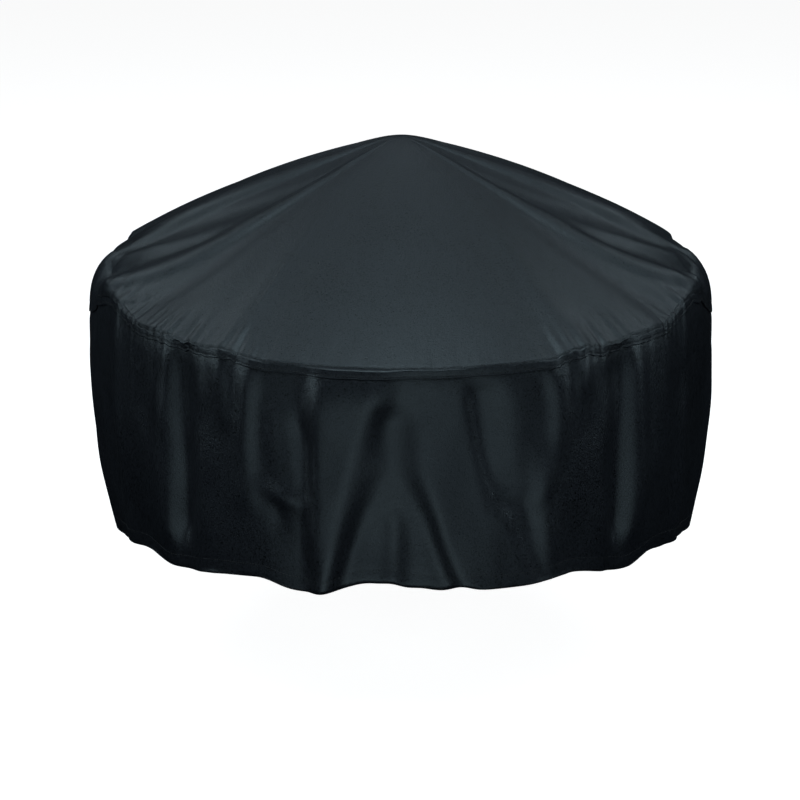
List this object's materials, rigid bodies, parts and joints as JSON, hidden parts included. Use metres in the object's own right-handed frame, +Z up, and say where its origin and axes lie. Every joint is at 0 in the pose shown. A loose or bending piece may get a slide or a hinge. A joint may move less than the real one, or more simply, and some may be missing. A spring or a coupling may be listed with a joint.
{
  "type": "fire pit cover",
  "caption": "Round fitted cloth cover with a peaked top of radial folds, a lapped rim seam and a hanging skirt drawn in at its turned hem, hollow and open underneath.",
  "frame": {"origin": "the middle of the peak's underside, where the cover is held up by what it covers", "axes": "+Z up, -Y towards the front, where the skirt has its two large wedge folds, and +X to the right seen from the front"},
  "size_m": [0.8621, 0.8653, 0.5406],
  "materials": {
    "top_cloth": "satin",
    "skirt_cloth": "satin",
    "thread": "satin"
  },
  "bodies": {
    "root": {"top_panel": "top_cloth", "skirt_panel": "skirt_cloth"}
  },
  "joints": []
}
